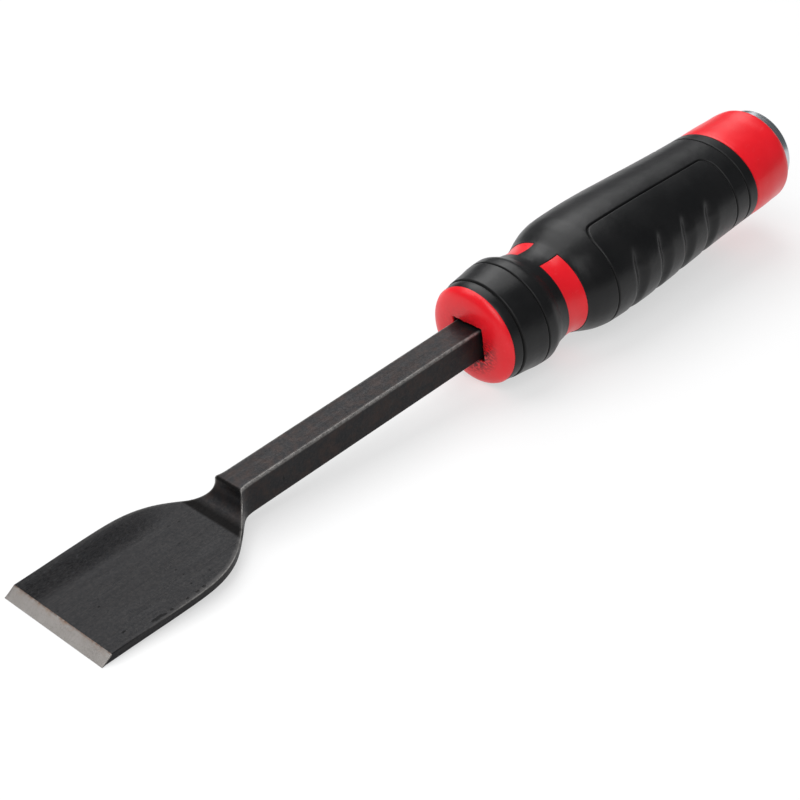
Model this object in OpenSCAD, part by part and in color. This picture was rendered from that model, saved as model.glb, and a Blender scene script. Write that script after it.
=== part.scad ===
// Wide-bladed chisel scraper: a blade forged from square bar, an oval
// two-material grip and a steel strike cap.  Inside the grip the bar is
// turned down to a rod that carries the hammer's blow from the cap.
// It lies on a flat surface: the underside of the cutting edge and the
// grip's collar touch z = 0.  +X runs from the cutting edge to the strike
// cap, +Z is up, and the blade is symmetrical about y = 0.

/* [Blade] */
// Width of the square bar that the blade is forged from
stock = 9.5; // [9:0.25:10]
// Width of the blade at its cutting edge
blade_w = 40.2; // [38:0.2:40.8]
// Width of the blade at its widest place
blade_w_max = 40.8; // [40.8:0.1:42.5]
// Thickness of the blade
blade_t = 2.2; // [1.8:0.1:2.8]
// Length of the ground bevel, measured along the blade
bevel_len = 3.5; // [2.5:0.1:5]
// Length from the cutting edge to the shoulder under the bar
blade_len = 59.5; // [56:0.5:66]
// Length of bare bar from the shoulder to the handle's nose
shank_len = 89.5; // [80:0.5:100]
// Radius of the concave shoulder between the bar's top and the blade
cove_r = 7; // [6:0.1:8]
// Width of the bevel along the bar's long edges
bar_edge = 0.6; // [0.3:0.1:0.9]

/* [Grip] */
// Length of the hard core, from its nose to its rear face
handle_len = 127.3; // [127:0.1:130]
// Thickness of the soft grip over the core
skin = 2.2; // [1.6:0.1:2.6]
// Thickness of the soft grip beside the two windows
window_skin = 1.2; // [0.8:0.1:1.6]
// Depth of the ring grooves
groove_d = 0.7; // [0.4:0.1:0.8]
// Clearance round the bar in the mouth of the nose
mouth_gap = 0.8; // [0.4:0.1:1.2]

/* [Strike cap and tang] */
// Diameter of the strike cap
cap_d = 26; // [25:0.5:27]
// Distance that the strike cap stands out of the core
cap_out = 4.4; // [3:0.2:5]
// Thickness of the strike cap's face
cap_face = 1.5; // [1.2:0.1:2.5]
// Thickness of the strike cap's wall, round the core's spigot
cap_wall = 2; // [1.5:0.25:3]
// Length of the square tang inside the handle
tang_len = 29.5; // [20:0.5:40]
// Diameter of the rod between the square tang and the strike cap
rod_d = 5; // [4:0.5:7]

/* [Hidden] */
$fn = 96;
e = 0.01;
h = stock / 2;

// Stations along the tool's own axis
x_face = -1.5;                       // front face of the nose
x_shoulder = x_face - shank_len;     // top of the cove
x_edge = x_shoulder - blade_len;     // cutting edge
x_end = x_face + handle_len;         // rear face of the core
x_step = x_face + tang_len;          // end of the square tang
x_cap = x_end + cap_out;             // struck face
x_in = x_cap - cap_face;             // inside of the cap's face
cap_rim = 1.2;                       // chamfer round the struck face

// Sections of the finished handle: [x, half width, half height]
OUTER = [
  [-1.5, 10.6, 10.6], [-0.4, 13.6, 13.6], [1.0, 15.2, 15.1], [3.0, 15.9, 15.7],
  [6.0, 16.4, 15.9], [9.5, 16.9, 16.2], [13.5, 17.5, 16.7], [16.5, 17.6, 16.8],
  [18.6, 17.0, 16.0], [20.6, 16.2, 15.0], [24.0, 15.5, 14.2], [28.0, 15.4, 13.9],
  [31.5, 16.3, 14.4], [35.0, 17.9, 15.7], [38.5, 19.1, 16.8], [42.0, 19.7, 17.3],
  [47.0, 19.9, 17.4], [54.0, 20.0, 17.3], [62.0, 19.8, 17.0], [72.0, 19.3, 16.4],
  [84.0, 18.7, 15.6], [96.0, 18.2, 14.9], [106.0, 17.9, 14.5], [114.0, 17.8, 14.4],
  [120.0, 17.2, 14.5], [123.4, 16.7, 14.8], [125.0, 16.0, 14.9], [x_end, 15.2, 14.6]
];
N_OUT = len(OUTER);
function seg(x, i = 0) = (i >= N_OUT - 2 || x < OUTER[i + 1][0]) ? i : seg(x, i + 1);
function rise(i, k) = (OUTER[i + 1][k] - OUTER[i][k]) / (OUTER[i + 1][0] - OUTER[i][0]);
function slope(i, k) = i <= 0 ? rise(0, k) : i >= N_OUT - 1 ? rise(N_OUT - 2, k)
  : let(a = rise(i - 1, k), b = rise(i, k)) (a * b <= 0) ? 0 : 2 * a * b / (a + b);
// smooth half width (k = 1) or half height (k = 2) of the handle at x
function section(x, k) = let(i = seg(x), d = OUTER[i + 1][0] - OUTER[i][0], u = (x - OUTER[i][0]) / d,
    p0 = OUTER[i][k], p1 = OUTER[i + 1][k], m0 = slope(i, k) * d, m1 = slope(i + 1, k) * d)
  (2 * pow(u, 3) - 3 * pow(u, 2) + 1) * p0 + (pow(u, 3) - 2 * pow(u, 2) + u) * m0
  + (3 * pow(u, 2) - 2 * pow(u, 3)) * p1 + (pow(u, 3) - pow(u, 2)) * m1;

NA = 48;                              // points round each ring
function a(j) = 360 * j / NA;
function oval(x, inset) = [for (j = [0:NA - 1]) [x, (section(x, 1) - inset) * cos(a(j)), (section(x, 2) - inset) * sin(a(j))]];
function square_ring(x, r) = [for (j = [0:NA - 1]) let(c = cos(a(j)), s = sin(a(j)), m = max(abs(c), abs(s))) [x, r * c / m, r * s / m]];
function round_ring(x, r) = [for (j = [0:NA - 1]) [x, r * cos(a(j)), r * sin(a(j))]];

// Stations of the soft grip, with a narrow band for each ring groove
x_grip0 = 1.2;
x_grip1 = 107;
GX = [x_grip0, 3.2, 4.2, 5.0, 6.2, 8, 10.5, 12.6, 13.4, 14.2, 16.5, 18.6, 20.6, 22.4, 24, 27.6, 31.2, 33,
      35, 38.5, 42, 47, 54, 62, 70, 78, 86, 94, 102.4, 103.4, 104.4, x_grip1];
RING_GROOVES = [4.2, 5.0, 13.4, 103.4];
function near_any(x, list) = len([for (q = list) if (abs(q - x) < 0.05) q]) > 0;
function groove(x) = near_any(x, RING_GROOVES) ? groove_d : 0;
function skin_at(x) = (x > 20 && x < 34) ? window_skin : skin;
WX0 = 24;                             // windows run between these stations
WX1 = 31.2;
function is_window(i, j) = GX[i] > WX0 - e && GX[i + 1] < WX1 + e && ((j >= 14 && j < 34) || j >= 38 || j < 10);
function is_open(i, j) = i < 0 || i > len(GX) - 2 || is_window(i, (j + NA) % NA);

// How the tool lies: tilted until the edge's underside and the collar touch z = 0
tilt = max([for (p = OUTER) atan((p[2] - h) / (p[0] - x_edge))]);
z_rest = h * cos(tilt) - x_edge * sin(tilt);
x_low = x_edge * cos(tilt) + h * sin(tilt);
x_high = max(x_cap * cos(tilt) + (cap_d / 2 - cap_rim) * sin(tilt), (x_cap - cap_rim) * cos(tilt) + cap_d / 2 * sin(tilt));
module place() translate([-(x_low + x_high) / 2, 0, z_rest]) rotate([0, -tilt, 0]) children();

// Half outline of the blade in plan: [distance from the edge, half width]
PLAN = let(w = blade_w / 2, m = blade_w_max / 2)
  [for (p = [[0, w], [10, w + 0.2 * (m - w)], [20, w + 0.8 * (m - w)], [27, m], [32, m - 0.05], [36, m - 0.3],
             [39.5, m - 0.9], [42.5, m - 1.8], [45, m - 2.9], [47, m - 4], [49, m - 5.4], [51, m - 7],
             [53, m - 8.8], [54.8, m - 10.4], [56.4, m - 11.9], [57.8, h + 2.4], [59, h + 1.2], [60, h + 0.4],
             [60.8, h]]) [p[0] * blade_len / 60, p[1]]];

module blade_and_tang() color([0.16, 0.16, 0.17]) place() {
  difference() {
    union() {
      // blade and root of the bar: plan outline, cut by the side profile
      intersection() {
        translate([0, 0, -h]) linear_extrude(height = stock)
          polygon(concat([for (p = PLAN) [x_edge + p[0], p[1]]],
                         [for (i = [len(PLAN) - 1:-1:0]) [x_edge + PLAN[i][0], -PLAN[i][1]]]));
        translate([0, blade_w, 0]) rotate([90, 0, 0]) linear_extrude(height = 2 * blade_w)
          difference() {
            polygon([[x_edge, -h], [x_edge + bevel_len, -h + blade_t], [x_shoulder - cove_r, -h + blade_t],
                     [x_shoulder - cove_r, h], [x_shoulder + 3, h], [x_shoulder + 3, -h]]);
            translate([x_shoulder - cove_r, -h + blade_t + cove_r]) circle(r = cove_r);
          }
      }
      // bar and square tang
      translate([x_shoulder, -h, -h]) cube([x_step - x_shoulder, stock, stock]);
      // rod, bearing on the inside of the strike cap
      translate([x_step - 1, 0, 0]) rotate([0, 90, 0]) cylinder(d = rod_d, h = x_in - x_step + 1);
    }
    // bevels along the bare bar's long edges
    for (sy = [-1, 1], sz = [-1, 1])
      translate([x_shoulder + 4, sy * h, sz * h]) rotate([45, 0, 0])
        translate([0, -bar_edge / sqrt(2), -bar_edge / sqrt(2)])
          cube([shank_len - 6, bar_edge * sqrt(2), bar_edge * sqrt(2)]);
  }
}

// closed tube: outer rings from front to back, then inner rings from front to back
module tube(outer, inner) {
  n = len(outer);
  m = len(inner);
  o = n * NA;
  polyhedron(
    points = concat([for (r = outer) each r], [for (r = inner) each r]),
    faces = concat(
      [for (i = [0:n - 2], j = [0:NA - 1]) let(k = (j + 1) % NA, p = i * NA, q = p + NA) each [[p + j, q + k, p + k], [p + j, q + j, q + k]]],
      [for (i = [0:m - 2], j = [0:NA - 1]) let(k = (j + 1) % NA, p = o + i * NA, q = p + NA) each [[p + j, p + k, q + k], [p + j, q + k, q + j]]],
      [for (j = [0:NA - 1]) let(k = (j + 1) % NA) each [[j, k, o + k], [j, o + k, o + j]]],
      [for (j = [0:NA - 1]) let(k = (j + 1) % NA, p = (n - 1) * NA, q = o + (m - 1) * NA) each [[p + j, q + k, p + k], [p + j, q + j, q + k]]]));
}

// hard core: bare nose and tail, sunk under the soft grip, square hole for the tang,
// round hole for the rod, and a spigot inside the strike cap
module handle_core() color([0.85, 0.1, 0.14]) place() {
  rod_hole = rod_d / 2 / cos(180 / NA) + 0.02;
  spigot = cap_d / 2 - cap_wall;
  tube(
    concat([for (x = [x_face, -1.1, -0.4, 0.3, x_grip0]) oval(x, 0)],
           [for (x = GX) oval(x, skin_at(x))],
           [for (x = [x_grip1, 111, 115, 119, 122, 123.8, 125, x_end]) oval(x, 0)],
           [round_ring(x_end, spigot), round_ring(x_in - 0.05, spigot)]),
    [square_ring(x_face, h + mouth_gap), square_ring(2.5, h + mouth_gap), square_ring(2.5, h),
     square_ring(x_step, h), round_ring(x_step, rod_hole), round_ring(x_in - 0.05, rod_hole)]);
}

// soft grip: one moulded sleeve with two mirrored windows at its waist
module grip_overmould() color([0.1, 0.1, 0.11]) place() {
  n = len(GX);
  o = n * NA;
  polyhedron(
    points = concat([for (x = GX) each oval(x, groove(x))], [for (x = GX) each oval(x, skin_at(x))]),
    faces = [for (i = [0:n - 2], j = [0:NA - 1]) if (!is_open(i, j))
      let(k = (j + 1) % NA, p = i * NA, q = p + NA)
      each concat(
        [[p + j, q + k, p + k], [p + j, q + j, q + k]],
        [[o + p + j, o + p + k, o + q + k], [o + p + j, o + q + k, o + q + j]],
        is_open(i - 1, j) ? [[p + j, p + k, o + p + k], [p + j, o + p + k, o + p + j]] : [],
        is_open(i + 1, j) ? [[q + j, o + q + k, q + k], [q + j, o + q + j, o + q + k]] : [],
        is_open(i, j - 1) ? [[p + j, o + p + j, o + q + j], [p + j, o + q + j, q + j]] : [],
        is_open(i, j + 1) ? [[p + k, o + q + k, o + p + k], [p + k, q + k, o + q + k]] : [])]);
}

// steel cap that takes the hammer, a shallow cup over the core's spigot
module strike_cap() color([0.75, 0.77, 0.79]) place()
  translate([x_end, 0, 0]) rotate([0, 90, 0]) difference() {
    union() {
      cylinder(d = cap_d, h = cap_out - cap_rim);
      translate([0, 0, cap_out - cap_rim]) cylinder(d1 = cap_d, d2 = cap_d - 2 * cap_rim, h = cap_rim);
    }
    translate([0, 0, -1]) cylinder(d = cap_d - 2 * cap_wall, h = cap_out - cap_face + 1);
  }

blade_and_tang();
handle_core();
grip_overmould();
strike_cap();
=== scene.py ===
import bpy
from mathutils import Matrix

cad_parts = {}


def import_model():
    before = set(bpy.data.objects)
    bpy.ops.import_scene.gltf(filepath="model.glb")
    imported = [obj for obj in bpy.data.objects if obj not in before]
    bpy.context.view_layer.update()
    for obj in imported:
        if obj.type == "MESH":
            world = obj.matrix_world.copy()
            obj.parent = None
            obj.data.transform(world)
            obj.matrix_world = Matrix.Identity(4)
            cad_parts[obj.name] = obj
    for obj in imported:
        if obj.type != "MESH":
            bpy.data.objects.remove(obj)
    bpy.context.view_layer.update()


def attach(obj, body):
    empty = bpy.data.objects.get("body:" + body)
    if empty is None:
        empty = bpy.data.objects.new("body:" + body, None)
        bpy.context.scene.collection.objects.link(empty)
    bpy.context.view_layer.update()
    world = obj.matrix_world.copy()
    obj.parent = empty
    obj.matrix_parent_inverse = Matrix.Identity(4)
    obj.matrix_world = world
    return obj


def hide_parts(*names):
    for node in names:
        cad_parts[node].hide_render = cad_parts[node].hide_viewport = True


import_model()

import math

import bmesh
import bpy
import numpy as np
from mathutils import Matrix, Vector

# ---------------------------------------------------------------- dimensions (mm, tool frame)
H = 4.75                     # half of the square bar
X_FACE = -1.5
X_SHOULDER = X_FACE - 89.5
X_EDGE = X_SHOULDER - 59.5
X_END = X_FACE + 127.3
X_STEP = X_FACE + 29.5
CAP_OUT, CAP_R, CAP_WALL, CAP_FACE, CAP_RIM = 4.4, 13.0, 2.0, 1.5, 1.2
RIM = 0.5                    # how far the worn rim of the cap is rounded
X_CAP = X_END + CAP_OUT
BLADE_T = 2.2
BEVEL = 3.5
COVE_R = 7.0
OUTER = np.array([
    [-1.5, 10.6, 10.6], [-0.4, 13.6, 13.6], [1.0, 15.2, 15.1], [3.0, 15.9, 15.7],
    [6.0, 16.4, 15.9], [9.5, 16.9, 16.2], [13.5, 17.5, 16.7], [16.5, 17.6, 16.8],
    [18.6, 17.0, 16.0], [20.6, 16.2, 15.0], [24.0, 15.5, 14.2], [28.0, 15.4, 13.9],
    [31.5, 16.3, 14.4], [35.0, 17.9, 15.7], [38.5, 19.1, 16.8], [42.0, 19.7, 17.3],
    [47.0, 19.9, 17.4], [54.0, 20.0, 17.3], [62.0, 19.8, 17.0], [72.0, 19.3, 16.4],
    [84.0, 18.7, 15.6], [96.0, 18.2, 14.9], [106.0, 17.9, 14.5], [114.0, 17.8, 14.4],
    [120.0, 17.2, 14.5], [123.4, 16.7, 14.8], [125.0, 16.0, 14.9], [X_END, 15.2, 14.6]])

# how the tool lies: edge and collar on the floor
TILT = max(math.atan((p[2] - H) / (p[0] - X_EDGE)) for p in OUTER)
CT, ST = math.cos(TILT), math.sin(TILT)
TZ = H * CT - X_EDGE * ST
_xlow = X_EDGE * CT + H * ST
_xhigh = max(X_CAP * CT + (CAP_R - CAP_RIM) * ST, (X_CAP - CAP_RIM) * CT + CAP_R * ST)
TX = -(_xlow + _xhigh) / 2


def world(p):
    """Tool frame in mm to the row frame in metres."""
    p = np.asarray(p, float)
    out = np.empty_like(p)
    out[..., 0] = p[..., 0] * CT - p[..., 2] * ST + TX
    out[..., 1] = p[..., 1]
    out[..., 2] = p[..., 0] * ST + p[..., 2] * CT + TZ
    return out / 1000.0


def _slopes(k):
    x, y = OUTER[:, 0], OUTER[:, k]
    r = np.diff(y) / np.diff(x)
    m = np.empty(len(x))
    m[0], m[-1] = r[0], r[-1]
    a, b = r[:-1], r[1:]
    with np.errstate(divide="ignore", invalid="ignore"):
        m[1:-1] = np.where(a * b <= 0, 0, 2 * a * b / (a + b))
    return m


_M = {1: _slopes(1), 2: _slopes(2)}


def section(x, k):
    x = np.asarray(x, float)
    X, Y, M = OUTER[:, 0], OUTER[:, k], _M[k]
    i = np.clip(np.searchsorted(X, x, side="right") - 1, 0, len(X) - 2)
    d = X[i + 1] - X[i]
    u = (x - X[i]) / d
    return ((2 * u**3 - 3 * u**2 + 1) * Y[i] + (u**3 - 2 * u**2 + u) * M[i] * d
            + (3 * u**2 - 2 * u**3) * Y[i + 1] + (u**3 - u**2) * M[i + 1] * d)


def smooth(e0, e1, v):
    u = np.clip((np.asarray(v, float) - e0) / (e1 - e0), 0, 1)
    return u * u * (3 - 2 * u)


def lines(a, b, base, fine):
    """Grid lines from a to b: spacing base, finer near each (position, reach, spacing); positions are hit exactly."""
    marks = sorted({a, b, *[p for p, _, _ in fine if a < p < b]})
    out = [a]
    for lo, hi in zip(marks, marks[1:]):
        v = lo
        pts = []
        while v < hi - 1e-9:
            step = base
            for p, reach, sp in fine:
                dist = max(0.0, abs(v - p) - 1e-9)
                if dist < reach:
                    step = min(step, sp)
                elif v < p and v + step > p - reach:
                    step = max(sp, p - reach - v)
            v += step
            pts.append(v)
        scale = (hi - lo) / (pts[-1] - lo)
        out += [lo + (q - lo) * scale for q in pts]
    return np.array(out)


def make(name, verts, faces, mats, node, mat_idx=None, sharp=34.0):
    me = bpy.data.meshes.new(name)
    me.from_pydata([tuple(v) for v in world(verts)], [], faces)
    me.validate(clean_customdata=False)
    for m in mats:
        me.materials.append(m)
    if mat_idx is not None:
        me.polygons.foreach_set("material_index", np.asarray(mat_idx, dtype=np.int32))
    me.polygons.foreach_set("use_smooth", np.ones(len(me.polygons), dtype=bool))
    me.update()
    me.set_sharp_from_angle(angle=math.radians(sharp))
    ob = bpy.data.objects.new(name, me)
    bpy.context.scene.collection.objects.link(ob)
    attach(ob, "root")
    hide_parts(node)
    return ob


# ---------------------------------------------------------------- material helpers
class Mat:
    def __init__(self, name):
        self.m = bpy.data.materials.new(name)
        self.m.use_nodes = True
        self.t = self.m.node_tree
        self.t.nodes.clear()
        self.out = self.t.nodes.new("ShaderNodeOutputMaterial")
        self.b = self.t.nodes.new("ShaderNodeBsdfPrincipled")
        self.t.links.new(self.b.outputs[0], self.out.inputs[0])
        # tool-frame position in mm
        tc = self.t.nodes.new("ShaderNodeTexCoord")
        sub = self.n("VectorMath", operation="SUBTRACT")
        sub.inputs[1].default_value = (TX / 1000, 0, TZ / 1000)
        self.t.links.new(tc.outputs["Object"], sub.inputs[0])
        rot = self.n("VectorRotate", rotation_type="Y_AXIS")
        rot.inputs["Angle"].default_value = TILT
        self.t.links.new(sub.outputs[0], rot.inputs["Vector"])
        sc = self.n("VectorMath", operation="SCALE")
        sc.inputs["Scale"].default_value = 1000.0
        self.t.links.new(rot.outputs[0], sc.inputs[0])
        self.p = sc.outputs[0]

    def n(self, kind, **kw):
        nd = self.t.nodes.new("ShaderNode" + kind)
        for k, v in kw.items():
            setattr(nd, k, v)
        return nd

    def link(self, a, b):
        self.t.links.new(a, b)

    def mul(self, vec, xyz):
        v = self.n("VectorMath", operation="MULTIPLY")
        v.inputs[1].default_value = xyz
        self.link(vec, v.inputs[0])
        return v.outputs[0]

    def noise(self, scale, detail=3.0, rough=0.55, stretch=(1, 1, 1), dist=0.0, off=(0, 0, 0)):
        vec = self.mul(self.p, stretch)
        if any(off):
            a = self.n("VectorMath", operation="ADD")
            a.inputs[1].default_value = off
            self.link(vec, a.inputs[0])
            vec = a.outputs[0]
        nd = self.n("TexNoise")
        nd.inputs["Scale"].default_value = scale
        nd.inputs["Detail"].default_value = detail
        nd.inputs["Roughness"].default_value = rough
        nd.inputs["Distortion"].default_value = dist
        self.link(vec, nd.inputs["Vector"])
        return nd.outputs["Fac"]

    def ramp(self, fac, stops, kind="LINEAR"):
        r = self.n("ValToRGB")
        r.color_ramp.interpolation = kind
        e = r.color_ramp.elements
        while len(e) < len(stops):
            e.new(0.5)
        for el, (pos, col) in zip(e, stops):
            el.position = pos
            el.color = (*col, 1) if len(col) == 3 else col
        self.link(fac, r.inputs[0])
        return r.outputs[0]

    def map(self, fac, a, b, c, d):
        m = self.n("MapRange")
        m.inputs["From Min"].default_value = a
        m.inputs["From Max"].default_value = b
        m.inputs["To Min"].default_value = c
        m.inputs["To Max"].default_value = d
        self.link(fac, m.inputs["Value"])
        return m.outputs[0]

    def math(self, op, a, b=None, clamp=False):
        m = self.n("Math", operation=op, use_clamp=clamp)
        for i, v in enumerate((a, b)):
            if v is None:
                continue
            if isinstance(v, (int, float)):
                m.inputs[i].default_value = v
            else:
                self.link(v, m.inputs[i])
        return m.outputs[0]

    def mix(self, fac, a, b):
        m = self.n("Mix", data_type="RGBA")
        for s, v in ((m.inputs[0], fac), (m.inputs[6], a), (m.inputs[7], b)):
            if isinstance(v, (int, float)):
                s.default_value = v
            elif isinstance(v, tuple):
                s.default_value = (*v, 1)
            else:
                self.link(v, s)
        return m.outputs[2]

    def bump(self, height, strength, distance, normal=None):
        b = self.n("Bump")
        b.inputs["Strength"].default_value = strength
        b.inputs["Distance"].default_value = distance
        self.link(height, b.inputs["Height"])
        if normal is not None:
            self.link(normal, b.inputs["Normal"])
        return b.outputs[0]

    def xyz(self):
        s = self.n("SeparateXYZ")
        self.link(self.p, s.inputs[0])
        return s.outputs

    def set(self, **kw):
        for k, v in kw.items():
            s = self.b.inputs[k.replace("_", " ")]
            if isinstance(v, (int, float)):
                s.default_value = v
            elif isinstance(v, tuple):
                s.default_value = (*v, 1) if len(v) == 3 else v
            else:
                self.link(v, s)


NICKS = [(-131.6, -18.9, 1.5, 0.45), (-129.6, -19.2, 0.6, 0.35), (-127.4, -19.2, 0.5, 0.35), (-122.2, -19.2, 0.45, 0.3),
         (-118.9, -19.1, 0.5, 0.35), (-116.6, -19.0, 0.5, 0.35), (-140.2, -16.2, 0.5, 0.3)]


# ---------------------------------------------------------------- black oxide steel
def black_steel():
    m = Mat("black_steel")
    X = m.xyz()
    cloud = m.noise(0.09, 4, 0.6)
    fine = m.noise(1.3, 5, 0.65)
    streak = m.noise(1.0, 3, 0.6, stretch=(0.05, 1.6, 1.6))
    hair = m.noise(1.0, 2, 0.5, stretch=(0.035, 7.0, 7.0), dist=0.3)
    base = m.mix(m.map(cloud, 0.35, 0.7, 0, 1), (0.0100, 0.0102, 0.0118), (0.0168, 0.0165, 0.0178))
    base = m.mix(m.math("MULTIPLY", m.map(fine, 0.42, 0.72, 0, 1), 0.60), base, (0.034, 0.031, 0.030))
    # brown tint and darker scale round the forged shoulder and along the bar's sides
    brown = m.math("MULTIPLY", m.map(m.noise(0.35, 4, 0.6, off=(9, 3, 1)), 0.42, 0.68, 0, 1),
                   m.math("MULTIPLY", m.map(X[0], -99, -92, 0, 1), m.map(X[0], 6, -4, 0, 1)))
    base = m.mix(m.math("MULTIPLY", brown, 0.5), base, (0.040, 0.024, 0.019))
    # painted shade: darker colour in the foot of the cove and along the rounded ridge
    up = m.map(X[2], -H + 1.2, -H + 1.9, 0, 1)
    foot = m.math("MULTIPLY", m.map(X[0], X_SHOULDER - COVE_R - 0.8, X_SHOULDER - COVE_R - 0.1, 0, 1),
                  m.map(X[0], X_SHOULDER - 3.6, X_SHOULDER - 5.4, 0, 1))
    ridge = m.math("MULTIPLY", m.map(X[0], X_SHOULDER - 0.45, X_SHOULDER - 0.1, 0, 1),
                   m.map(X[0], X_SHOULDER + 0.55, X_SHOULDER + 0.2, 0, 1))
    ridge = m.math("MULTIPLY", ridge, m.map(X[2], H - 1.3, H - 0.7, 0, 1))
    painted_cove_shade = m.math("MULTIPLY", up, m.math("MAXIMUM", m.math("MULTIPLY", foot, 0.9), m.math("MULTIPLY", ridge, 0.85)))
    base = m.mix(painted_cove_shade, base, (0.0035, 0.003, 0.003))
    # rough hammered strip near the blade's far edge
    strip = m.math("MULTIPLY", m.map(X[1], 7.5, 12.5, 0, 1), m.map(X[0], -102, -116, 0, 1))
    strip = m.math("MULTIPLY", strip, m.map(X[1], 19.2, 16.5, 0.25, 1))
    hammer = m.noise(1.15, 5, 0.75, stretch=(0.6, 1, 1), off=(8, 8, 1))
    spots = m.math("MULTIPLY", strip, m.map(hammer, 0.54, 0.62, 0, 1))
    base = m.mix(m.math("MULTIPLY", spots, 0.9), base, (0.004, 0.004, 0.005))
    fleck = m.math("MULTIPLY", strip, m.map(hammer, 0.42, 0.36, 0, 1))
    base = m.mix(m.math("MULTIPLY", fleck, 0.6), base, (0.060, 0.060, 0.064))
    # faint lengthwise scratches on the blade
    sc = m.math("MULTIPLY", m.map(hair, 0.62, 0.72, 0, 1), m.map(X[0], -92, -104, 0, 1))
    base = m.mix(m.math("MULTIPLY", sc, 0.45), base, (0.060, 0.058, 0.056))
    # small pits
    vor = m.n("TexVoronoi", feature="F1")
    vor.inputs["Scale"].default_value = 0.42
    m.link(m.mul(m.p, (1, 1, 0.2)), vor.inputs["Vector"])
    pit = m.map(vor.outputs["Distance"], 0.10, 0.19, 1, 0)
    pit = m.math("MULTIPLY", pit, m.map(m.noise(0.10, 2, 0.5, off=(4, 8, 2)), 0.54, 0.62, 0, 1))
    pit = m.math("MULTIPLY", pit, m.map(fine, 0.4, 0.55, 0, 1))
    # a few single nicks by the near edge: x, y, length, width
    for px, py, ln, wd in NICKS:
        q = m.n("VectorMath", operation="SUBTRACT")
        q.inputs[1].default_value = (px, py, -H + BLADE_T)
        m.link(m.p, q.inputs[0])
        v = m.n("VectorMath", operation="LENGTH")
        m.link(m.mul(q.outputs[0], (1 / ln, 1 / wd, 0.3)), v.inputs[0])
        one = m.math("ADD", v.outputs["Value"], m.math("MULTIPLY", fine, 1.6))
        pit = m.math("MAXIMUM", pit, m.map(one, 2.15, 1.8, 0, 1))
    base = m.mix(m.math("MULTIPLY", pit, 0.85), base, (0.004, 0.004, 0.0045))
    # painted highlight with some real edge wear: a bright line along the top corners, from the baked edge attribute
    at = m.n("Attribute", attribute_name="wear_and_highlight", attribute_type="GEOMETRY")
    wear_and_highlight = m.math("MULTIPLY", at.outputs["Fac"], m.map(m.noise(0.8, 4, 0.65, off=(2, 2, 7)), 0.34, 0.56, 0.45, 1))
    base = m.mix(wear_and_highlight, base, (0.42, 0.405, 0.39))
    # pits and hammered spots, plus the painted shade of the cove's foot and ridge: less metallic and rougher there
    flaws_and_painted_shade = m.math("MAXIMUM", m.math("MAXIMUM", m.math("MULTIPLY", spots, 0.8), pit), painted_cove_shade)
    keep = m.math("SUBTRACT", 1.0, m.math("MULTIPLY", flaws_and_painted_shade, 0.9))
    metal = m.math("MULTIPLY", m.map(X[0], -100, -92, 0.26, 0.62), keep)
    metal = m.math("MULTIPLY", metal, m.map(fine, 0.3, 0.7, 0.7, 1.3), clamp=True)
    m.set(Base_Color=base, Metallic=metal, Specular_IOR_Level=0.17)
    rough = m.math("ADD", m.map(cloud, 0.3, 0.7, 0.34, 0.44), m.map(X[0], -100, -92, 0.08, 0.0))
    rough = m.math("ADD", rough, m.math("MULTIPLY", m.math("MAXIMUM", foot, ridge), 0.18))
    rough = m.math("ADD", rough, m.map(streak, 0.35, 0.65, -0.04, 0.05))
    rough = m.math("ADD", rough, m.map(fine, 0.3, 0.7, 0.05, -0.06))
    rough = m.math("ADD", rough, m.math("MULTIPLY", flaws_and_painted_shade, 0.3), clamp=True)
    m.set(Roughness=rough)
    n1 = m.bump(cloud, 0.35, 0.0006)
    n2 = m.bump(fine, 0.34, 0.00010, n1)
    n3 = m.bump(streak, 0.18, 0.00005, n2)
    hgt = m.math("SUBTRACT", m.math("MULTIPLY", sc, 0.4), pit)
    n4 = m.bump(hgt, 0.6, 0.00008, n3)
    n4 = m.bump(m.math("MULTIPLY", strip, hammer), 0.9, 0.0009, n4)
    m.set(Normal=n4)
    return m.m


def bevel_steel():
    m = Mat("ground_bevel_steel")
    X = m.xyz()
    grind = m.noise(1.0, 4, 0.7, stretch=(0.25, 6.5, 0.25))
    cloud = m.noise(0.16, 3, 0.5, off=(1, 5, 3))
    base = m.mix(m.map(grind, 0.3, 0.7, 0, 1), (0.22, 0.205, 0.195), (0.30, 0.285, 0.27))
    rust = m.math("MULTIPLY", m.map(m.noise(0.55, 4, 0.6, off=(7, 1, 0)), 0.47, 0.66, 0, 1),
                  m.map(X[0], X_EDGE + 2.0, X_EDGE + 3.3, 0, 1))
    base = m.mix(m.math("MULTIPLY", rust, 0.6), base, (0.20, 0.11, 0.06))
    base = m.mix(m.math("MULTIPLY", m.map(cloud, 0.4, 0.65, 0, 1), 0.35), base, (0.19, 0.175, 0.165))
    line = m.math("MULTIPLY", m.map(X[0], X_EDGE + 3.0, X_EDGE + 3.35, 0, 1), m.map(m.noise(0.9, 4, 0.6, off=(2, 9, 4)), 0.36, 0.56, 0, 1))
    base = m.mix(m.math("MULTIPLY", line, 0.75), base, (0.10, 0.055, 0.035))
    speck = m.map(m.noise(2.2, 4, 0.7, off=(4, 4, 4)), 0.52, 0.66, 0, 1)
    base = m.mix(m.math("MULTIPLY", speck, 0.35), base, (0.12, 0.11, 0.10))
    m.set(Base_Color=base, Metallic=0.9)
    m.set(Roughness=m.map(grind, 0.3, 0.7, 0.36, 0.52), Anisotropic=0.0)
    m.set(Normal=m.bump(grind, 0.5, 0.00008))
    return m.m


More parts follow.
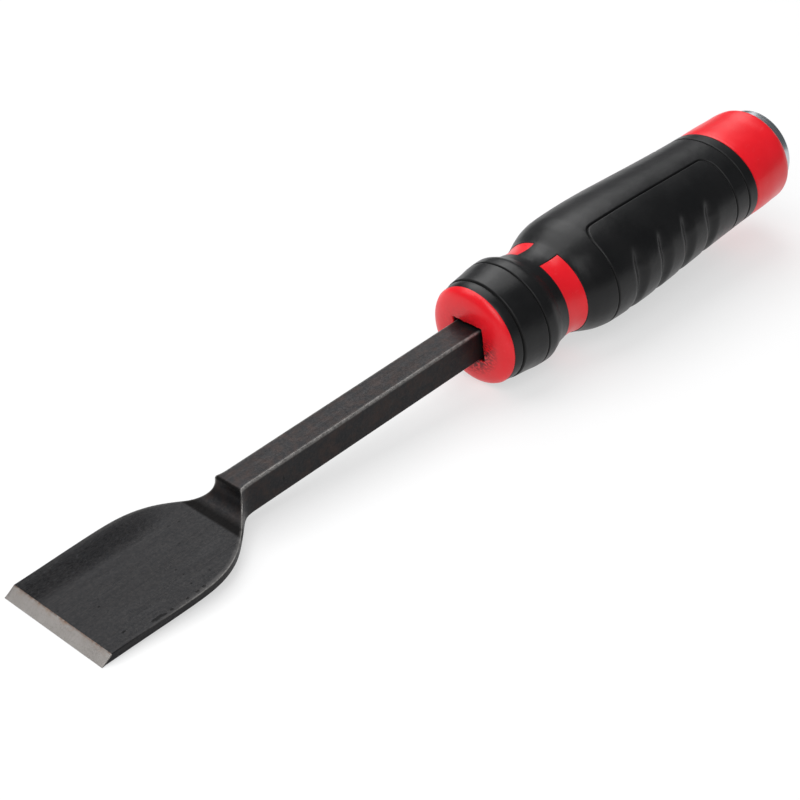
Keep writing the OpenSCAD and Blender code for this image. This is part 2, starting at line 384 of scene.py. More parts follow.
def red_plastic():
    m = Mat("red_plastic")
    X = m.xyz()
    cloud = m.noise(0.11, 3, 0.5)
    fine = m.noise(2.6, 3, 0.55)
    base = m.mix(m.map(cloud, 0.3, 0.7, 0, 1), (0.74, 0.008, 0.016), (0.82, 0.011, 0.021))
    # rubbed-in dirt and flash round the bar's mouth, heavier underneath
    r2 = m.math("SQRT", m.math("ADD", m.math("MULTIPLY", X[1], X[1]), m.math("MULTIPLY", X[2], X[2])))
    near = m.math("MULTIPLY", m.map(r2, 7.2, 11.8, 1, 0), m.map(X[0], 3.0, 0.0, 0, 1))
    low = m.map(m.math("SUBTRACT", m.math("MULTIPLY", X[1], -0.5), X[2]), 0.0, 6.0, 0.12, 1.0)
    smear = m.map(m.noise(0.75, 5, 0.7, stretch=(1, 1.0, 2.2), off=(3, 0, 6)), 0.44, 0.53, 0, 1)
    dirt_and_painted_shade = m.math("MULTIPLY", m.math("MULTIPLY", near, low), smear, clamp=True)
    # painted shade: the inner wall of the bar's mouth made nearly black, merged with the real dirt
    inside = m.math("MULTIPLY", m.map(X[0], -1.35, -0.9, 0, 1), m.map(r2, 8.9, 8.3, 0, 1))
    dirt_and_painted_shade = m.math("MAXIMUM", dirt_and_painted_shade, m.math("MULTIPLY", inside, 0.93))
    base = m.mix(dirt_and_painted_shade, base, (0.02, 0.006, 0.007))
    # fine scuffs
    scuff = m.map(m.noise(0.9, 5, 0.7, stretch=(0.5, 1, 1), off=(5, 5, 5)), 0.60, 0.72, 0, 1)
    base = m.mix(m.math("MULTIPLY", scuff, 0.12), base, (0.85, 0.20, 0.22))
    m.set(Base_Color=base, Specular_IOR_Level=0.36)
    rough = m.math("ADD", m.map(cloud, 0.3, 0.7, 0.28, 0.36), m.math("MULTIPLY", dirt_and_painted_shade, 0.3))
    rough = m.math("ADD", rough, m.math("MULTIPLY", scuff, 0.10), clamp=True)
    m.set(Roughness=rough)
    m.set(Subsurface_Weight=0.08, Subsurface_Scale=0.002)
    m.b.inputs["Subsurface Radius"].default_value = (1.0, 0.15, 0.1)
    n1 = m.bump(m.noise(0.22, 2, 0.4), 0.25, 0.0004)
    n2 = m.bump(fine, 0.10, 0.00004, n1)
    m.set(Normal=n2)
    return m.m


def black_rubber():
    m = Mat("black_rubber")
    cloud = m.noise(0.10, 4, 0.55)
    grain = m.noise(5.5, 4, 0.65)
    pebble = m.n("TexVoronoi", feature="SMOOTH_F1")
    pebble.inputs["Scale"].default_value = 3.2
    m.link(m.p, pebble.inputs["Vector"])
    base = m.mix(m.map(cloud, 0.3, 0.7, 0, 1), (0.0052, 0.0054, 0.0058), (0.0085, 0.0086, 0.0090))
    dust = m.map(m.noise(3.4, 3, 0.6, off=(6, 2, 8)), 0.70, 0.76, 0, 1)
    base = m.mix(m.math("MULTIPLY", dust, 0.30), base, (0.10, 0.10, 0.10))
    # painted highlight with some rub wear: raised rims lighter, from the baked attribute
    at = m.n("Attribute", attribute_name="wear_and_highlight", attribute_type="GEOMETRY")
    base = m.mix(m.math("MULTIPLY", at.outputs["Fac"], 0.30), base, (0.020, 0.020, 0.021))
    # painted shade: grooves and panel lines darker and rougher, from the baked groove mask
    painted_groove_shade = m.n("Attribute", attribute_name="painted_groove_shade", attribute_type="GEOMETRY")
    base = m.mix(painted_groove_shade.outputs["Fac"], base, (0.0012, 0.0012, 0.0012))
    m.set(Base_Color=base, Specular_IOR_Level=0.26)
    rough = m.math("ADD", m.map(cloud, 0.3, 0.7, 0.30, 0.38), m.map(grain, 0.3, 0.7, -0.03, 0.04))
    rough = m.math("ADD", rough, m.math("MULTIPLY", painted_groove_shade.outputs["Fac"], 0.5), clamp=True)
    m.set(Roughness=rough)
    n1 = m.bump(m.noise(0.16, 3, 0.5, off=(1, 1, 4)), 0.35, 0.0005)
    n2 = m.bump(pebble.outputs["Distance"], 0.12, 0.00005, n1)
    n3 = m.bump(grain, 0.16, 0.00004, n2)
    m.set(Normal=n3)
    return m.m


def cap_steel():
    m = Mat("cap_steel")
    X = m.xyz()
    turn = m.noise(1.0, 3, 0.6, stretch=(6.0, 0.12, 0.12))
    cloud = m.noise(0.18, 3, 0.5)
    base = m.mix(m.map(cloud, 0.3, 0.7, 0, 1), (0.47, 0.51, 0.54), (0.56, 0.60, 0.62))
    dent = m.n("TexVoronoi", feature="F1")
    dent.inputs["Scale"].default_value = 0.24
    warp = m.n("VectorMath", operation="ADD")
    m.link(m.p, warp.inputs[0])
    wn = m.n("TexNoise")
    wn.inputs["Scale"].default_value = 0.5
    m.link(m.p, wn.inputs["Vector"])
    m.link(m.mul(wn.outputs["Color"], (0, 5, 5)), warp.inputs[1])
    m.link(warp.outputs[0], dent.inputs["Vector"])
    dd = m.map(dent.outputs["Distance"], 0.05, 0.42, 1, 0)
    dd = m.math("ADD", dd, m.map(m.noise(0.9, 5, 0.65, off=(3, 3, 3)), 0.3, 0.7, -0.25, 0.25))
    dd = m.math("MULTIPLY", dd, m.map(X[0], X_CAP - 0.7, X_CAP - 0.2, 0, 1))
    # painted highlight: near-white colour on the front of the cap next to the red, with a ragged edge
    edge = m.math("ADD", X[0], m.map(m.noise(0.35, 3, 0.5, off=(6, 1, 2)), 0.3, 0.7, -0.35, 0.35))
    painted_rim_highlight = m.map(edge, X_END + 1.7, X_END + 1.1, 0, 1)
    base = m.mix(painted_rim_highlight, base, (0.93, 0.93, 0.94))
    m.set(Base_Color=base, Metallic=1.0)
    m.set(Roughness=m.math("ADD", m.map(turn, 0.3, 0.7, 0.22, 0.32), m.math("MULTIPLY", dd, 0.15)))
    n1 = m.bump(turn, 0.10, 0.00003)
    n2 = m.bump(dd, 0.22, 0.00010, n1)
    m.set(Normal=n2)
    return m.m


MAT_STEEL, MAT_BEVEL, MAT_RED, MAT_RUBBER, MAT_CAP = black_steel(), bevel_steel(), red_plastic(), black_rubber(), cap_steel()


# ---------------------------------------------------------------- blade, bar and tang
def ring_profile(w, zb, zt, rt, rb, n_top, n_side, n_c=6):
    """Closed cross-section, rounded at its four corners. Starts at the top far corner and runs over the top to the near side."""
    def arc(cy, cz, r, a0, a1):
        a = np.linspace(a0, a1, n_c + 1)
        return np.c_[cy + r * np.cos(a), cz + r * np.sin(a)]

    def edge(p, q, n):
        # inner points of a straight edge, with one close to each end
        u = np.r_[0.035, np.linspace(0.12, 0.88, n - 2), 0.965]
        return p + (q - p) * u[:, None]
    A = arc(w - rt, zt - rt, rt, 0, math.pi / 2)
    B = arc(-w + rt, zt - rt, rt, math.pi / 2, math.pi)
    C = arc(-w + rb, zb + rb, rb, math.pi, 1.5 * math.pi)
    D = arc(w - rb, zb + rb, rb, 1.5 * math.pi, 2 * math.pi)
    return np.r_[A, edge(A[-1], B[0], n_top), B, edge(B[-1], C[0], n_side), C, edge(C[-1], D[0], n_top), D, edge(D[-1], A[0], n_side)]


def blade():
    w0, wm = 20.1, 20.4
    S = 59.5 / 60
    plan = np.array([[0, w0], [10, w0 + 0.06], [20, w0 + 0.24], [27, wm], [32, wm - 0.05], [36, wm - 0.3],
                     [39.5, wm - 0.9], [42.5, wm - 1.8], [45, wm - 2.9], [47, wm - 4], [49, wm - 5.4], [51, wm - 7],
                     [53, wm - 8.8], [54.8, wm - 10.4], [56.4, wm - 11.9], [57.8, H + 2.4], [59, H + 1.2],
                     [60, H + 0.45], [61.2, H + 0.08], [63.5, H]])
    # a smooth curve near the outline: linear by cumulative chord length on a dense set, smoothed by repeated averaging,
    # then read back by x
    t = np.r_[0, np.cumsum(np.hypot(*np.diff(plan, axis=0).T))]
    tt = np.linspace(0, t[-1], 600)
    px, pw = np.interp(tt, t, plan[:, 0]), np.interp(tt, t, plan[:, 1])
    for _ in range(260):
        px[1:-1] = px[1:-1] + 0.5 * (0.5 * (px[:-2] + px[2:]) - px[1:-1])
        pw[1:-1] = pw[1:-1] + 0.5 * (0.5 * (pw[:-2] + pw[2:]) - pw[1:-1])
    zt_flat = -H + BLADE_T
    st = []                                        # x, top z, top radius, bottom radius
    th0 = 0.14
    for d in (0.015, 0.35, 0.9, 1.6, 2.4, 3.0, 3.36):
        z = -H + th0 + (BLADE_T - th0) * d / BEVEL
        r = min(0.30, 0.42 * (z + H))
        st.append((X_EDGE + d, z, r, r))
    st.append((X_EDGE + 3.47, zt_flat - 0.02, 0.3, 0.3))
    st.append((X_EDGE + 3.56, zt_flat, 0.3, 0.3))
    st.append((X_EDGE + 3.9, zt_flat, 0.3, 0.3))
    xf = X_SHOULDER - COVE_R
    for x in np.linspace(X_EDGE + 5.0, xf - 1.2, 44):
        st.append((x, zt_flat, 0.3, 0.3))
    st.append((xf - 0.4, zt_flat, 0.3, 0.3))
    for a in np.linspace(-90, -4, 34):
        x = xf + COVE_R * math.cos(math.radians(a))
        z = zt_flat + COVE_R + COVE_R * math.sin(math.radians(a))
        st.append((x, z, 0.3 + 0.35 * (a + 90) / 86, 0.35))
    # rounded ridge into the top of the bar
    x_r, r_r = X_SHOULDER + 0.02, 0.55
    for a in np.linspace(176, 90, 9):
        st.append((x_r + r_r + r_r * math.cos(math.radians(a)), H - r_r + r_r * math.sin(math.radians(a)), 0.65, 0.5))
    for x in np.r_[np.linspace(X_SHOULDER + 1.2, X_SHOULDER + 6, 7), np.linspace(X_SHOULDER + 9, X_FACE - 1, 26), np.linspace(X_FACE + 1, X_STEP - 0.2, 8)]:
        st.append((x, H, 0.65, 0.6))
    st.sort(key=lambda s: s[0])
    xs = [st[0][0]]
    for s in st[1:]:
        xs.append(max(s[0], xs[-1] + 0.004))
    rings, wear_and_highlight = [], []
    for x, (_, z, rt, rb) in zip(xs, st):
        d = (x - X_EDGE) / S
        w = float(np.interp(d, px, pw)) if d < 63.4 else H
        g = ring_profile(w, -H, z, min(rt, 0.45 * (z + H)), min(rb, 0.45 * (z + H)), 14, 4)
        rings.append(np.c_[np.full(len(g), x), g])
        n = len(g)
        k = np.arange(n)
        # top corners: far 0..6, near 21..27
        top = ((k <= 6) | ((k >= 21) & (k <= 27))).astype(float)
        mid = np.where(k <= 6, np.abs(k - 3), np.abs(k - 24)) / 3.5
        # painted highlight with some real edge wear on both top corners, fading out towards the blade's edge and
        # stopping at the handle
        amount = 0.0
        if x < X_FACE:
            amount = 0.85 * float(smooth(X_SHOULDER - COVE_R - 46, X_SHOULDER - COVE_R - 8, x))
        wear_and_highlight.append(top * np.clip(1 - mid, 0, 1) * amount)
    # tang end, then the rod
    n = len(rings[0])
    last = rings[-1]
    ang = np.arctan2(last[:, 2], last[:, 1])
    x1 = X_STEP
    rr = 2.5

    def circ(x, r):
        return np.c_[np.full(n, x), r * np.cos(ang), r * np.sin(ang)]
    body = last.copy()
    body[:, 0] = x1
    rings += [body, circ(x1, rr + 0.3), circ(x1 + 0.3, rr)]
    for x in np.linspace(x1 + 4, X_CAP - CAP_FACE - 0.4, 14):
        rings.append(circ(x, rr))
    rings.append(circ(X_CAP - CAP_FACE - 0.02, rr - 0.3))
    wear_and_highlight += [np.zeros(n)] * (len(rings) - len(wear_and_highlight))
    V = np.concatenate(rings)
    W = np.concatenate(wear_and_highlight)
    faces, mats = [], []
    m = len(rings)
    for i in range(m - 1):
        xc = 0.5 * (rings[i][0, 0] + rings[i + 1][0, 0])
        for j in range(n):
            k = (j + 1) % n
            faces.append((i * n + j, i * n + k, (i + 1) * n + k, (i + 1) * n + j))
            mats.append(1 if xc < X_EDGE + 3.5 and j <= 27 else 0)
    faces.append(tuple(range(n))[::-1]); mats.append(1)
    faces.append(tuple((m - 1) * n + j for j in range(n))); mats.append(0)
    ob = make("blade_and_tang_forged", V, faces, [MAT_STEEL, MAT_BEVEL], "blade_and_tang", mats, 22)
    # the bright top-corner band: painted highlight with some real wear
    at = ob.data.attributes.new("wear_and_highlight", "FLOAT", "POINT")
    at.data.foreach_set("value", W.astype(np.float32))
    return ob


# ---------------------------------------------------------------- shared grip layout
X0, X1 = 1.2, 107.8                               # ends of the soft grip
WIN = (24.0, 31.3)                                # windows, along x
NEAR_WIN = (109.0, 251.0)                         # degrees
FAR_WIN = (283.0, 437.0)
WINDOW_SKIN, SKIN = 1.2, 2.2
GROOVES = [(4.6, 0.60, 0.30), (13.5, 0.50, 0.24), (103.6, 0.55, 0.26)]
PANELS = [(107.0, 253.0), (310.0, 410.0)]
PANEL_X = (41.1, 97.4)
SCOOPS = [48.9, 60.1, 71.3, 82.6]


def arc_len(x, th):
    """Rough distance round the section, mm per degree times degrees."""
    return 0.5 * (section(x, 1) + section(x, 2)) * np.radians(th)


def panel_line(th0, th1):
    """Closed outline of one grip panel, as (x, theta)."""
    xa, xb = PANEL_X
    out = []
    # front corners are longer round the section than along it
    for x, t, dx, dt, q in ((xa, th0, 4.4, 22, 0), (xa, th1, 4.4, 22, 1), (xb, th1, 3.6, 18, 2), (xb, th0, 3.6, 18, 3)):
        sx = 1 if x == xa else -1
        stt = 1 if t == th0 else -1
        a = np.linspace(0, 90, 14)
        cx, ct = x + sx * dx, t + stt * dt
        e = 0.86
        ca, sa = np.cos(np.radians(a)) ** e, np.sin(np.radians(a)) ** e
        seg = np.c_[cx - sx * dx * sa, ct - stt * dt * ca]       # from the straight long line to the end line
        if q in (1, 3):
            seg = seg[::-1]
        out.append(seg)
    # order: front top corner runs from top line to front line
    pts = np.concatenate(out)
    return np.r_[pts, pts[:1]]


def dist_to_poly(px, ps, poly):
    """Distance of points (px, ps) to a polyline in mm."""
    best = np.full(px.shape, 1e9)
    for (ax, as_), (bx, bs) in zip(poly[:-1], poly[1:]):
        dx, ds = bx - ax, bs - as_
        L = dx * dx + ds * ds
        if L < 1e-9:
            continue
        u = np.clip(((px - ax) * dx + (ps - as_) * ds) / L, 0, 1)
        best = np.minimum(best, np.hypot(px - ax - u * dx, ps - as_ - u * ds))
    return best


XF = [(WIN[0], 0.9, 0.11), (WIN[1], 0.9, 0.11), (X0, 1.2, 0.12), (X1, 1.4, 0.14),
      (PANEL_X[0], 0.9, 0.12), (PANEL_X[1], 0.9, 0.12)] + [(g[0], 1.0, 0.11) for g in GROOVES] + [(43.2, 2.6, 0.2), (95.6, 2.2, 0.2)]
GX = lines(X0, X1, 0.55, XF)
TF = []
for lo, hi in (NEAR_WIN, FAR_WIN):
    TF += [(lo, 2.6, 0.42), (hi, 2.6, 0.42)]
for lo, hi in PANELS:
    TF += [(lo, 2.0, 0.40), (hi, 2.0, 0.40), (lo + 12, 11, 0.62), (hi - 12, 11, 0.62)]
# start the ring inside the far window so that no special line crosses the seam
GT = lines(90.0, 450.0, 1.5, TF)[:-1]
TT = np.where(GT > 450, GT - 360, GT)


def window_sd(x, th):
    """Signed distance in mm to the window openings: positive inside an opening."""
    best = np.full(np.broadcast(x, th).shape, -1e9)
    for lo, hi in (NEAR_WIN, FAR_WIN):
        for shift in (-360, 0, 360):
            t = th + shift
            k = np.radians(1) * 0.5 * (section(x, 1) + section(x, 2))
            d = np.minimum(np.minimum(x - WIN[0], WIN[1] - x), np.minimum((t - lo) * k, (hi - t) * k))
            best = np.maximum(best, d)
    return best


def fillet(u, r):
    """Depth of a rounded rim at distance u outside the rim."""
    u = np.clip(u, 0, r)
    return r - np.sqrt(np.maximum(r * r - (r - u) ** 2, 0))


def grip_depth(X, T):
    """How far the grip's surface lies below the plain section, and a mask of the grooves and panel lines for their
    painted shade.
    """
    d = np.zeros_like(X)
    groove_shade_mask = np.zeros_like(X)
    for gx, dep, w in GROOVES:
        groove_shade_mask = np.maximum(groove_shade_mask, np.exp(-np.abs((X - gx) / (w * 1.15)) ** 3))
        d += dep * np.exp(-np.abs((X - gx) / w) ** 2.4)
    # the front band is a little lower than the collar
    d += 0.22 * smooth(4.9, 4.3, X)
    # panels: an outline groove
    Tm = np.mod(T - 90.0, 360.0) + 90.0           # 90..450
    for lo, hi in PANELS:
        poly = panel_line(lo, hi)
        ring = arc_len(70.0, 1.0)
        poly_s = np.c_[poly[:, 0], poly[:, 1] * ring]
        dd = dist_to_poly(X, Tm * ring, poly_s)
        # the end line at the front fades where the belly begins
        away = np.abs(Tm - 0.5 * (lo + hi))
        fade = 1 - 0.55 * smooth(27, 40, away) * smooth(66, 56, away) * smooth(50, 44, X)
        depth = 0.50 * fade * np.exp(-np.abs(dd / 0.25) ** 2.2)
        d += depth
        groove_shade_mask = np.maximum(groove_shade_mask, fade * np.exp(-np.abs(dd / 0.27) ** 3))
    # finger scoops on both sides
    for side in (0, 1):
        tt = Tm if side == 0 else np.mod(180.0 - T, 360.0)
        tt = np.mod(tt, 360.0)
        for k, xs in enumerate(SCOOPS):
            top = 141.0 + 2.0 * (k == 3)
            v = np.clip((tt - top + 3.0) / 24.0, 0, 1)
            vb = np.clip((243.0 - tt) / 26.0, 0, 1)
            fade = (v * v * (3 - 2 * v)) * (vb * vb * (3 - 2 * vb))
            # the scoop leans back at its top and narrows there
            lean = 3.4 * np.clip((168.0 - tt) / 27.0, 0, 1) ** 1.6
            back = 1.8 * np.clip((tt - 172.0) / 26.0, 0, 1)
            xa = xs + 0.6 * lean
            xb = xs + 5.6 - back + 0.15 * lean
            u = (X - xa) / np.maximum(xb - xa, 0.5)
            prof = np.where(u < 0.34, smooth(-0.14, 0.34, u), 1 - smooth(0.34, 1.10, u))
            d += 1.15 * fade * np.where((u > -0.14) & (u < 1.10), prof, 0)
    # rounded rims at the two ends and round the windows
    d += fillet(X - X0, 0.5) + fillet(X1 - X, 0.6)
    sd = window_sd(X, T)
    d += fillet(-sd, 0.16)
    return d, groove_shade_mask


def grip():
    X, T = np.meshgrid(GX, TT, indexing="ij")
    nx, nt = X.shape
    ry, rz = section(X, 1), section(X, 2)
    d, groove_shade_mask = grip_depth(X, T)
    sd = window_sd(X, T)
    skin = SKIN + (WINDOW_SKIN - SKIN) * smooth(19.5, 21.5, X) * smooth(36, 34, X)
    skin = np.maximum(skin, d + 0.25)
    skin = np.where((X > 20) & (X < 34), WINDOW_SKIN, skin)
    c, s = np.cos(np.radians(T)), np.sin(np.radians(T))
    O = np.stack([X, (ry - d) * c, (rz - d) * s], -1)
    I = np.stack([X, (ry - skin) * c, (rz - skin) * s], -1)
    xc = 0.5 * (GX[:-1] + GX[1:])
    tc = TT + 0.5 * np.diff(np.r_[GT, 450.0])
    Xc, Tc = np.meshgrid(xc, tc, indexing="ij")
    open_ = window_sd(Xc, Tc) > 1e-6               # faces inside an opening
    V = np.concatenate([O.reshape(-1, 3), I.reshape(-1, 3)])
    N = nx * nt
    faces = []
    for i in range(nx - 1):
        for j in range(nt):
            if open_[i, j]:
                continue
            k = (j + 1) % nt
            a, b, c_, d_ = i * nt + j, i * nt + k, (i + 1) * nt + k, (i + 1) * nt + j
            faces.append((a, b, c_, d_)[::-1])
            faces.append((N + a, N + b, N + c_, N + d_))
            if i == 0 or open_[i - 1, j]:
                faces.append((a, b, N + b, N + a))
            if i == nx - 2 or open_[i + 1, j]:
                faces.append((d_, N + d_, N + c_, c_))
            if open_[i, j - 1]:
                faces.append((a, N + a, N + d_, d_))
            if open_[i, k]:
                faces.append((b, c_, N + c_, N + b))
    used = np.zeros(len(V), bool)
    used[np.unique(np.array(faces))] = True
    remap = np.cumsum(used) - 1
    faces = [tuple(int(remap[q]) for q in f) for f in faces]
    # painted highlight with some rub wear: lighter colour on the raised rims beside grooves and panel lines, found from
    # the curvature of the depth along x
    lap = np.zeros_like(d)
    lap[1:-1] = d[:-2] + d[2:] - 2 * d[1:-1]
    wear_and_highlight = np.clip(lap * 3, 0, 1)
    Wv = np.concatenate([wear_and_highlight.reshape(-1), np.zeros(N)])[used]
    ob = make("grip_overmould_sleeve", V[used], faces, [MAT_RUBBER], "grip_overmould", sharp=40)
    at = ob.data.attributes.new("wear_and_highlight", "FLOAT", "POINT")
    at.data.foreach_set("value", Wv.astype(np.float32))
    # groove mask for the painted shade in the grooves and panel lines
    at = ob.data.attributes.new("painted_groove_shade", "FLOAT", "POINT")
    at.data.foreach_set("value", np.concatenate([groove_shade_mask.reshape(-1), np.zeros(N)])[used].astype(np.float32))
    return ob


# ---------------------------------------------------------------- hard core
def core():
    nt = len(GT)
    th = GT.copy()
    c, s = np.cos(np.radians(th)), np.sin(np.radians(th))
    rings = []

    def oval(x, a, b):
        rings.append(np.c_[np.full(nt, x), a * c, b * s])
    # mouth: square hole with rounded lips, then the flat of the nose
    m = np.maximum(np.abs(c), np.abs(s))
    rag = 0.10 * np.sin(np.radians(th) * 7 + 1.0) + 0.08 * np.sin(np.radians(th) * 17 + 0.4) + 0.05 * np.sin(np.radians(th) * 31)

    def square(x, r, k=0.0, rg=0.0):
        # squircle-like corners with radius k
        q = r / m
        lim = np.minimum(q, r * math.sqrt(2) - k * 0.41)
        rr = lim + rg * rag
        rings.append(np.c_[np.full(nt, x), rr * c, rr * s])
    gap = 0.8
    square(X_STEP, H + 0.02)
    square(2.5, H + 0.02)
    square(2.48, H + gap)
    square(-0.9, H + gap, 0.3)
    square(-1.25, H + gap + 0.05, 0.3, 0.5)
    square(-1.42, H + gap + 0.2, 0.3, 0.8)
    square(-1.48, H + gap + 0.45, 0.4, 0.6)
    for r in (8.2, 8.8):
        oval(-1.5, r, r)
    for a in np.linspace(0, 84, 22):
        k = math.radians(a)
        x = 1.6 - 3.1 * math.cos(k)
        r = 9.3 + 6.15 * math.sin(k)
        oval(x, r, r - 0.05 * a / 84)
    oval(1.17, 15.47, 15.35)
    oval(1.19, 15.3, 15.2)
    oval(1.2, 13.4, 13.3)
    # under the grip
    xs = [x for x in GX if 1.3 < x < X1 - 0.1]
    xs = xs[::14] + [x for x in xs if WIN[0] - 2 < x < WIN[1] + 2][::3] + [WIN[0] - 0.02, WIN[0] + 0.03, WIN[0] + 0.1, WIN[0] + 0.4, WIN[1] - 0.4, WIN[1] - 0.1, WIN[1] - 0.03, WIN[1] + 0.02]
    xs = sorted(set(xs))
    for x in xs:
        sd = window_sd(np.full(nt, x), np.mod(th - 90, 360) + 90)
        base = WINDOW_SKIN if 20 < x < 34 else SKIN + 0.02
        dep = np.where(sd > 0.015, 0.17, base + 0.004)
        rings.append(np.c_[np.full(nt, x), (section(x, 1) - dep) * c, (section(x, 2) - dep) * s])
    x = X1 - 0.02
    oval(x, section(x, 1) - SKIN, section(x, 2) - SKIN)
    oval(X1 - 0.01, section(x, 1) - 0.45, section(x, 2) - 0.45)
    oval(X1 + 0.1, section(x, 1) - 0.22, section(x, 2) - 0.22)
    oval(X1 + 0.5, section(x, 1) - 0.12, section(x, 2) - 0.12)
    for x in np.r_[np.linspace(X1 + 1.2, 123.0, 26), np.linspace(123.3, X_END - 0.32, 14)]:
        f = 0.12 * (1 - smooth(X1 + 0.5, X1 + 3, x))
        oval(x, section(x, 1) - f, section(x, 2) - f)
    for a in np.linspace(10, 90, 6):
        k = math.radians(a)
        f = 0.32 * (1 - math.cos(k))
        x = X_END - 0.32 + 0.32 * math.sin(k)
        oval(x, section(min(x, X_END), 1) - f, section(min(x, X_END), 2) - f)
    sp = CAP_R - CAP_WALL
    oval(X_END, sp + 0.6, sp + 0.6)
    oval(X_END, sp - 0.03, sp - 0.03)
    oval(X_CAP - CAP_FACE - 0.06, sp - 0.03, sp - 0.03)
    oval(X_CAP - CAP_FACE - 0.06, 2.55, 2.55)
    oval(X_STEP, 2.55, 2.55)
    n = len(rings)
    V = np.concatenate(rings)
    faces = []
    for i in range(n):
        i2 = (i + 1) % n
        for j in range(nt):
            k = (j + 1) % nt
            faces.append((i * nt + j, i2 * nt + j, i2 * nt + k, i * nt + k))
    return make("handle_core_moulding", V, faces, [MAT_RED], "handle_core", sharp=38)


# ---------------------------------------------------------------- strike cap
def cap():
    nt = 160
    th = np.linspace(0, 2 * np.pi, nt, endpoint=False)
    rin = CAP_R - CAP_WALL
    prof = [(X_END + 0.02, rin), (X_END + 0.02, 12.05), (X_END + 0.10, 12.25), (X_END + 0.95, 12.93), (X_END + 1.10, 12.99)]
    prof += [(X_END + 1.3, 13.0), (X_END + 2.1, 13.0), (X_CAP - 0.08 - RIM - 0.03, 13.0)]
    for a in np.linspace(6, 84, 12):
        k = math.radians(a)
        prof.append((X_CAP - 0.08 - RIM * (1 - math.sin(k)), 13.0 - RIM * (1 - math.cos(k))))
    for r in (12.2, 11.2, 10.2, 8.5, 6.5, 4.5, 2.4, 0.9):
        prof.append((X_CAP - 0.08 * (r / 12.5) ** 2, r))
    prof_in = [(X_CAP - CAP_FACE, 0.9), (X_CAP - CAP_FACE, 5.0), (X_CAP - CAP_FACE, 10.2), (X_CAP - CAP_FACE - 0.3, rin)]
    V, faces = [], []
    out = prof
    for x, r in out:
        V.append(np.c_[np.full(nt, x), r * np.cos(th), r * np.sin(th)])
    for x, r in prof_in:
        V.append(np.c_[np.full(nt, x), r * np.cos(th), r * np.sin(th)])
    no, ni = len(out), len(prof_in)
    for i in range(no - 1):
        for j in range(nt):
            k = (j + 1) % nt
            faces.append((i * nt + j, (i + 1) * nt + j, (i + 1) * nt + k, i * nt + k))
    for i in range(no, no + ni - 1):
        for j in range(nt):
            k = (j + 1) % nt
            faces.append((i * nt + j, (i + 1) * nt + j, (i + 1) * nt + k, i * nt + k))
    for j in range(nt):
        k = (j + 1) % nt
        faces.append(((no + ni - 1) * nt + j, j, k, (no + ni - 1) * nt + k))
    V = np.concatenate(V)
    c_out, c_in = len(V), len(V) + 1
    V = np.r_[V, [[X_CAP, 0, 0]], [[X_CAP - CAP_FACE, 0, 0]]]
    for j in range(nt):
        k = (j + 1) % nt
        faces.append(((no - 1) * nt + j, c_out, (no - 1) * nt + k))
        faces.append((no * nt + k, c_in, no * nt + j))
    return make("strike_cap_cup", V, faces, [MAT_CAP], "strike_cap", sharp=32)


blade_ob, core_ob, grip_ob, cap_ob = blade(), core(), grip(), cap()
for ob in (blade_ob, core_ob, grip_ob, cap_ob):
    me = ob.data
    # outward normals: flip the whole mesh if its volume comes out negative
    bm = bmesh.new()
    bm.from_mesh(me)
    if bm.calc_volume(signed=True) < 0:
        bmesh.ops.reverse_faces(bm, faces=bm.faces)
        bm.to_mesh(me)
    open_edges = sum(1 for e in bm.edges if len(e.link_faces) != 2)
    print("mesh", ob.name, len(me.polygons), "faces, open edges", open_edges)
    bm.free()

# ---------------------------------------------------------------- floor, light and camera
fm = bpy.data.materials.new("floor_pale")
fm.use_nodes = True
fb = fm.node_tree.nodes["Principled BSDF"]
fb.inputs["Base Color"].default_value = (0.33, 0.33, 0.33, 1)
fb.inputs["Emission Color"].default_value = (1.0, 1.0, 1.0, 1)
fb.inputs["Emission Strength"].default_value = 0.60
fb.inputs["Roughness"].default_value = 0.7
fb.inputs["Specular IOR Level"].default_value = 0.15
fme = bpy.data.meshes.new("floor")
fme.from_pydata([(-4, -4, 0), (4, -4, 0), (4, 4, 0), (-4, 4, 0)], [], [(0, 1, 2, 3)])
fme.materials.append(fm)
floor = bpy.data.objects.new("floor", fme)
bpy.context.scene.collection.objects.link(floor)
floor.location.z = -0.00005


def area(name, loc, target, size, size_y, watts, color=(1, 1, 1)):
    L = bpy.data.lights.new(name, "AREA")
    L.shape = "RECTANGLE"
    L.size, L.size_y = size, size_y
    L.energy = watts
    L.color = color
    o = bpy.data.objects.new(name, L)
    o.location = loc
    o.rotation_euler = (Vector(target) - Vector(loc)).to_track_quat("-Z", "Y").to_euler()
    bpy.context.scene.collection.objects.link(o)
    return o


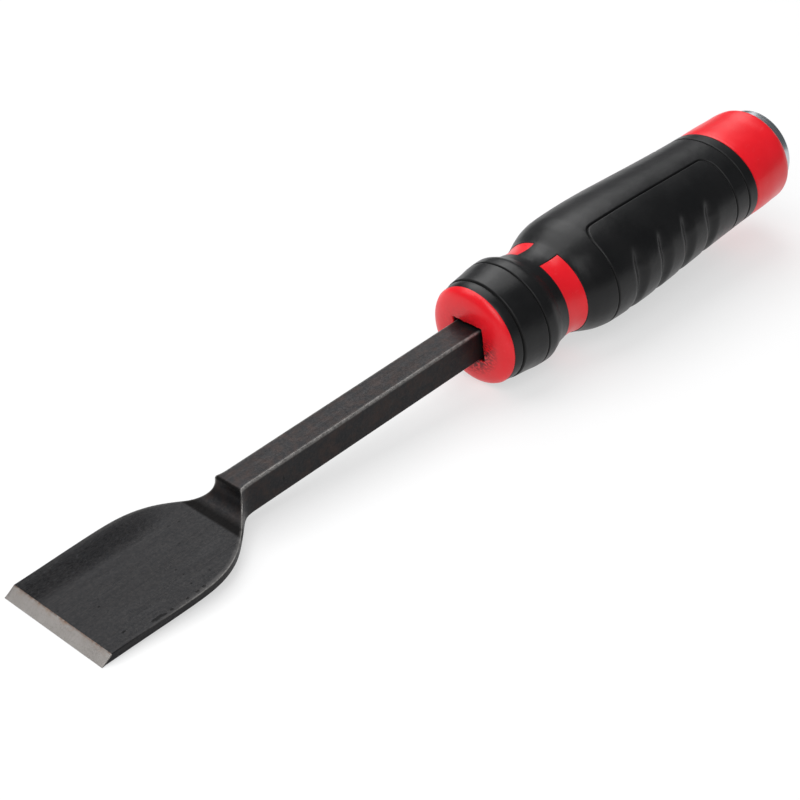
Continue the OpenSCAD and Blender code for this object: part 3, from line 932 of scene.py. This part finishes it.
area("overhead", (0.05, 0.50, 1.10), (0, 0, 0), 1.5, 1.1, 14.0)
area("left_fill", (-0.85, 0.95, 0.95), (0, 0, 0), 0.6, 0.6, 2.5)
area("rear_right", (0.78, 1.00, 1.05), (0, 0, 0), 0.9, 0.8, 3.5)
area("front_fill", (-0.75, -0.55, 1.05), (0, 0, 0), 1.0, 1.0, 11.0)
w = bpy.data.worlds.new("studio")
w.use_nodes = True
wt = w.node_tree
dim = wt.nodes["Background"]
dim.inputs[0].default_value = (0.93, 0.96, 1.0, 1)
dim.inputs[1].default_value = 0.15
pale = wt.nodes.new("ShaderNodeBackground")
pale.inputs[0].default_value = (0.78, 0.78, 0.78, 1)
ray = wt.nodes.new("ShaderNodeLightPath")
both = wt.nodes.new("ShaderNodeMixShader")
wt.links.new(ray.outputs["Is Camera Ray"], both.inputs[0])
wt.links.new(dim.outputs[0], both.inputs[1])
wt.links.new(pale.outputs[0], both.inputs[2])
wt.links.new(both.outputs[0], wt.nodes["World Output"].inputs[0])
bpy.context.scene.world = w
bpy.context.scene.view_settings.view_transform = "Standard"
bpy.context.scene.view_settings.look = "None"

R = np.array([[0.70761, -0.69928, -0.10149], [-0.47308, -0.36215, -0.80314], [0.52487, 0.61632, -0.58708]])
C = np.array([-35.18867, -37.68324, 35.38889]) * 9.5
W3 = np.array([[CT, 0, -ST], [0, 1, 0], [ST, 0, CT]])
Rw = R @ W3.T
u, _, vt = np.linalg.svd(Rw)
Rw = u @ vt
cam_d = bpy.data.cameras.new("camera")
cam = bpy.data.objects.new("camera", cam_d)
bpy.context.scene.collection.objects.link(cam)
loc = world(C)
M = Matrix(((Rw[0][0], -Rw[1][0], -Rw[2][0], loc[0]),
            (Rw[0][1], -Rw[1][1], -Rw[2][1], loc[1]),
            (Rw[0][2], -Rw[1][2], -Rw[2][2], loc[2]), (0, 0, 0, 1)))
cam.matrix_world = M
cam_d.sensor_width = 36.0
cam_d.lens = 2100 * 36 / 800
cam_d.clip_start, cam_d.clip_end = 0.01, 20
bpy.context.scene.camera = cam
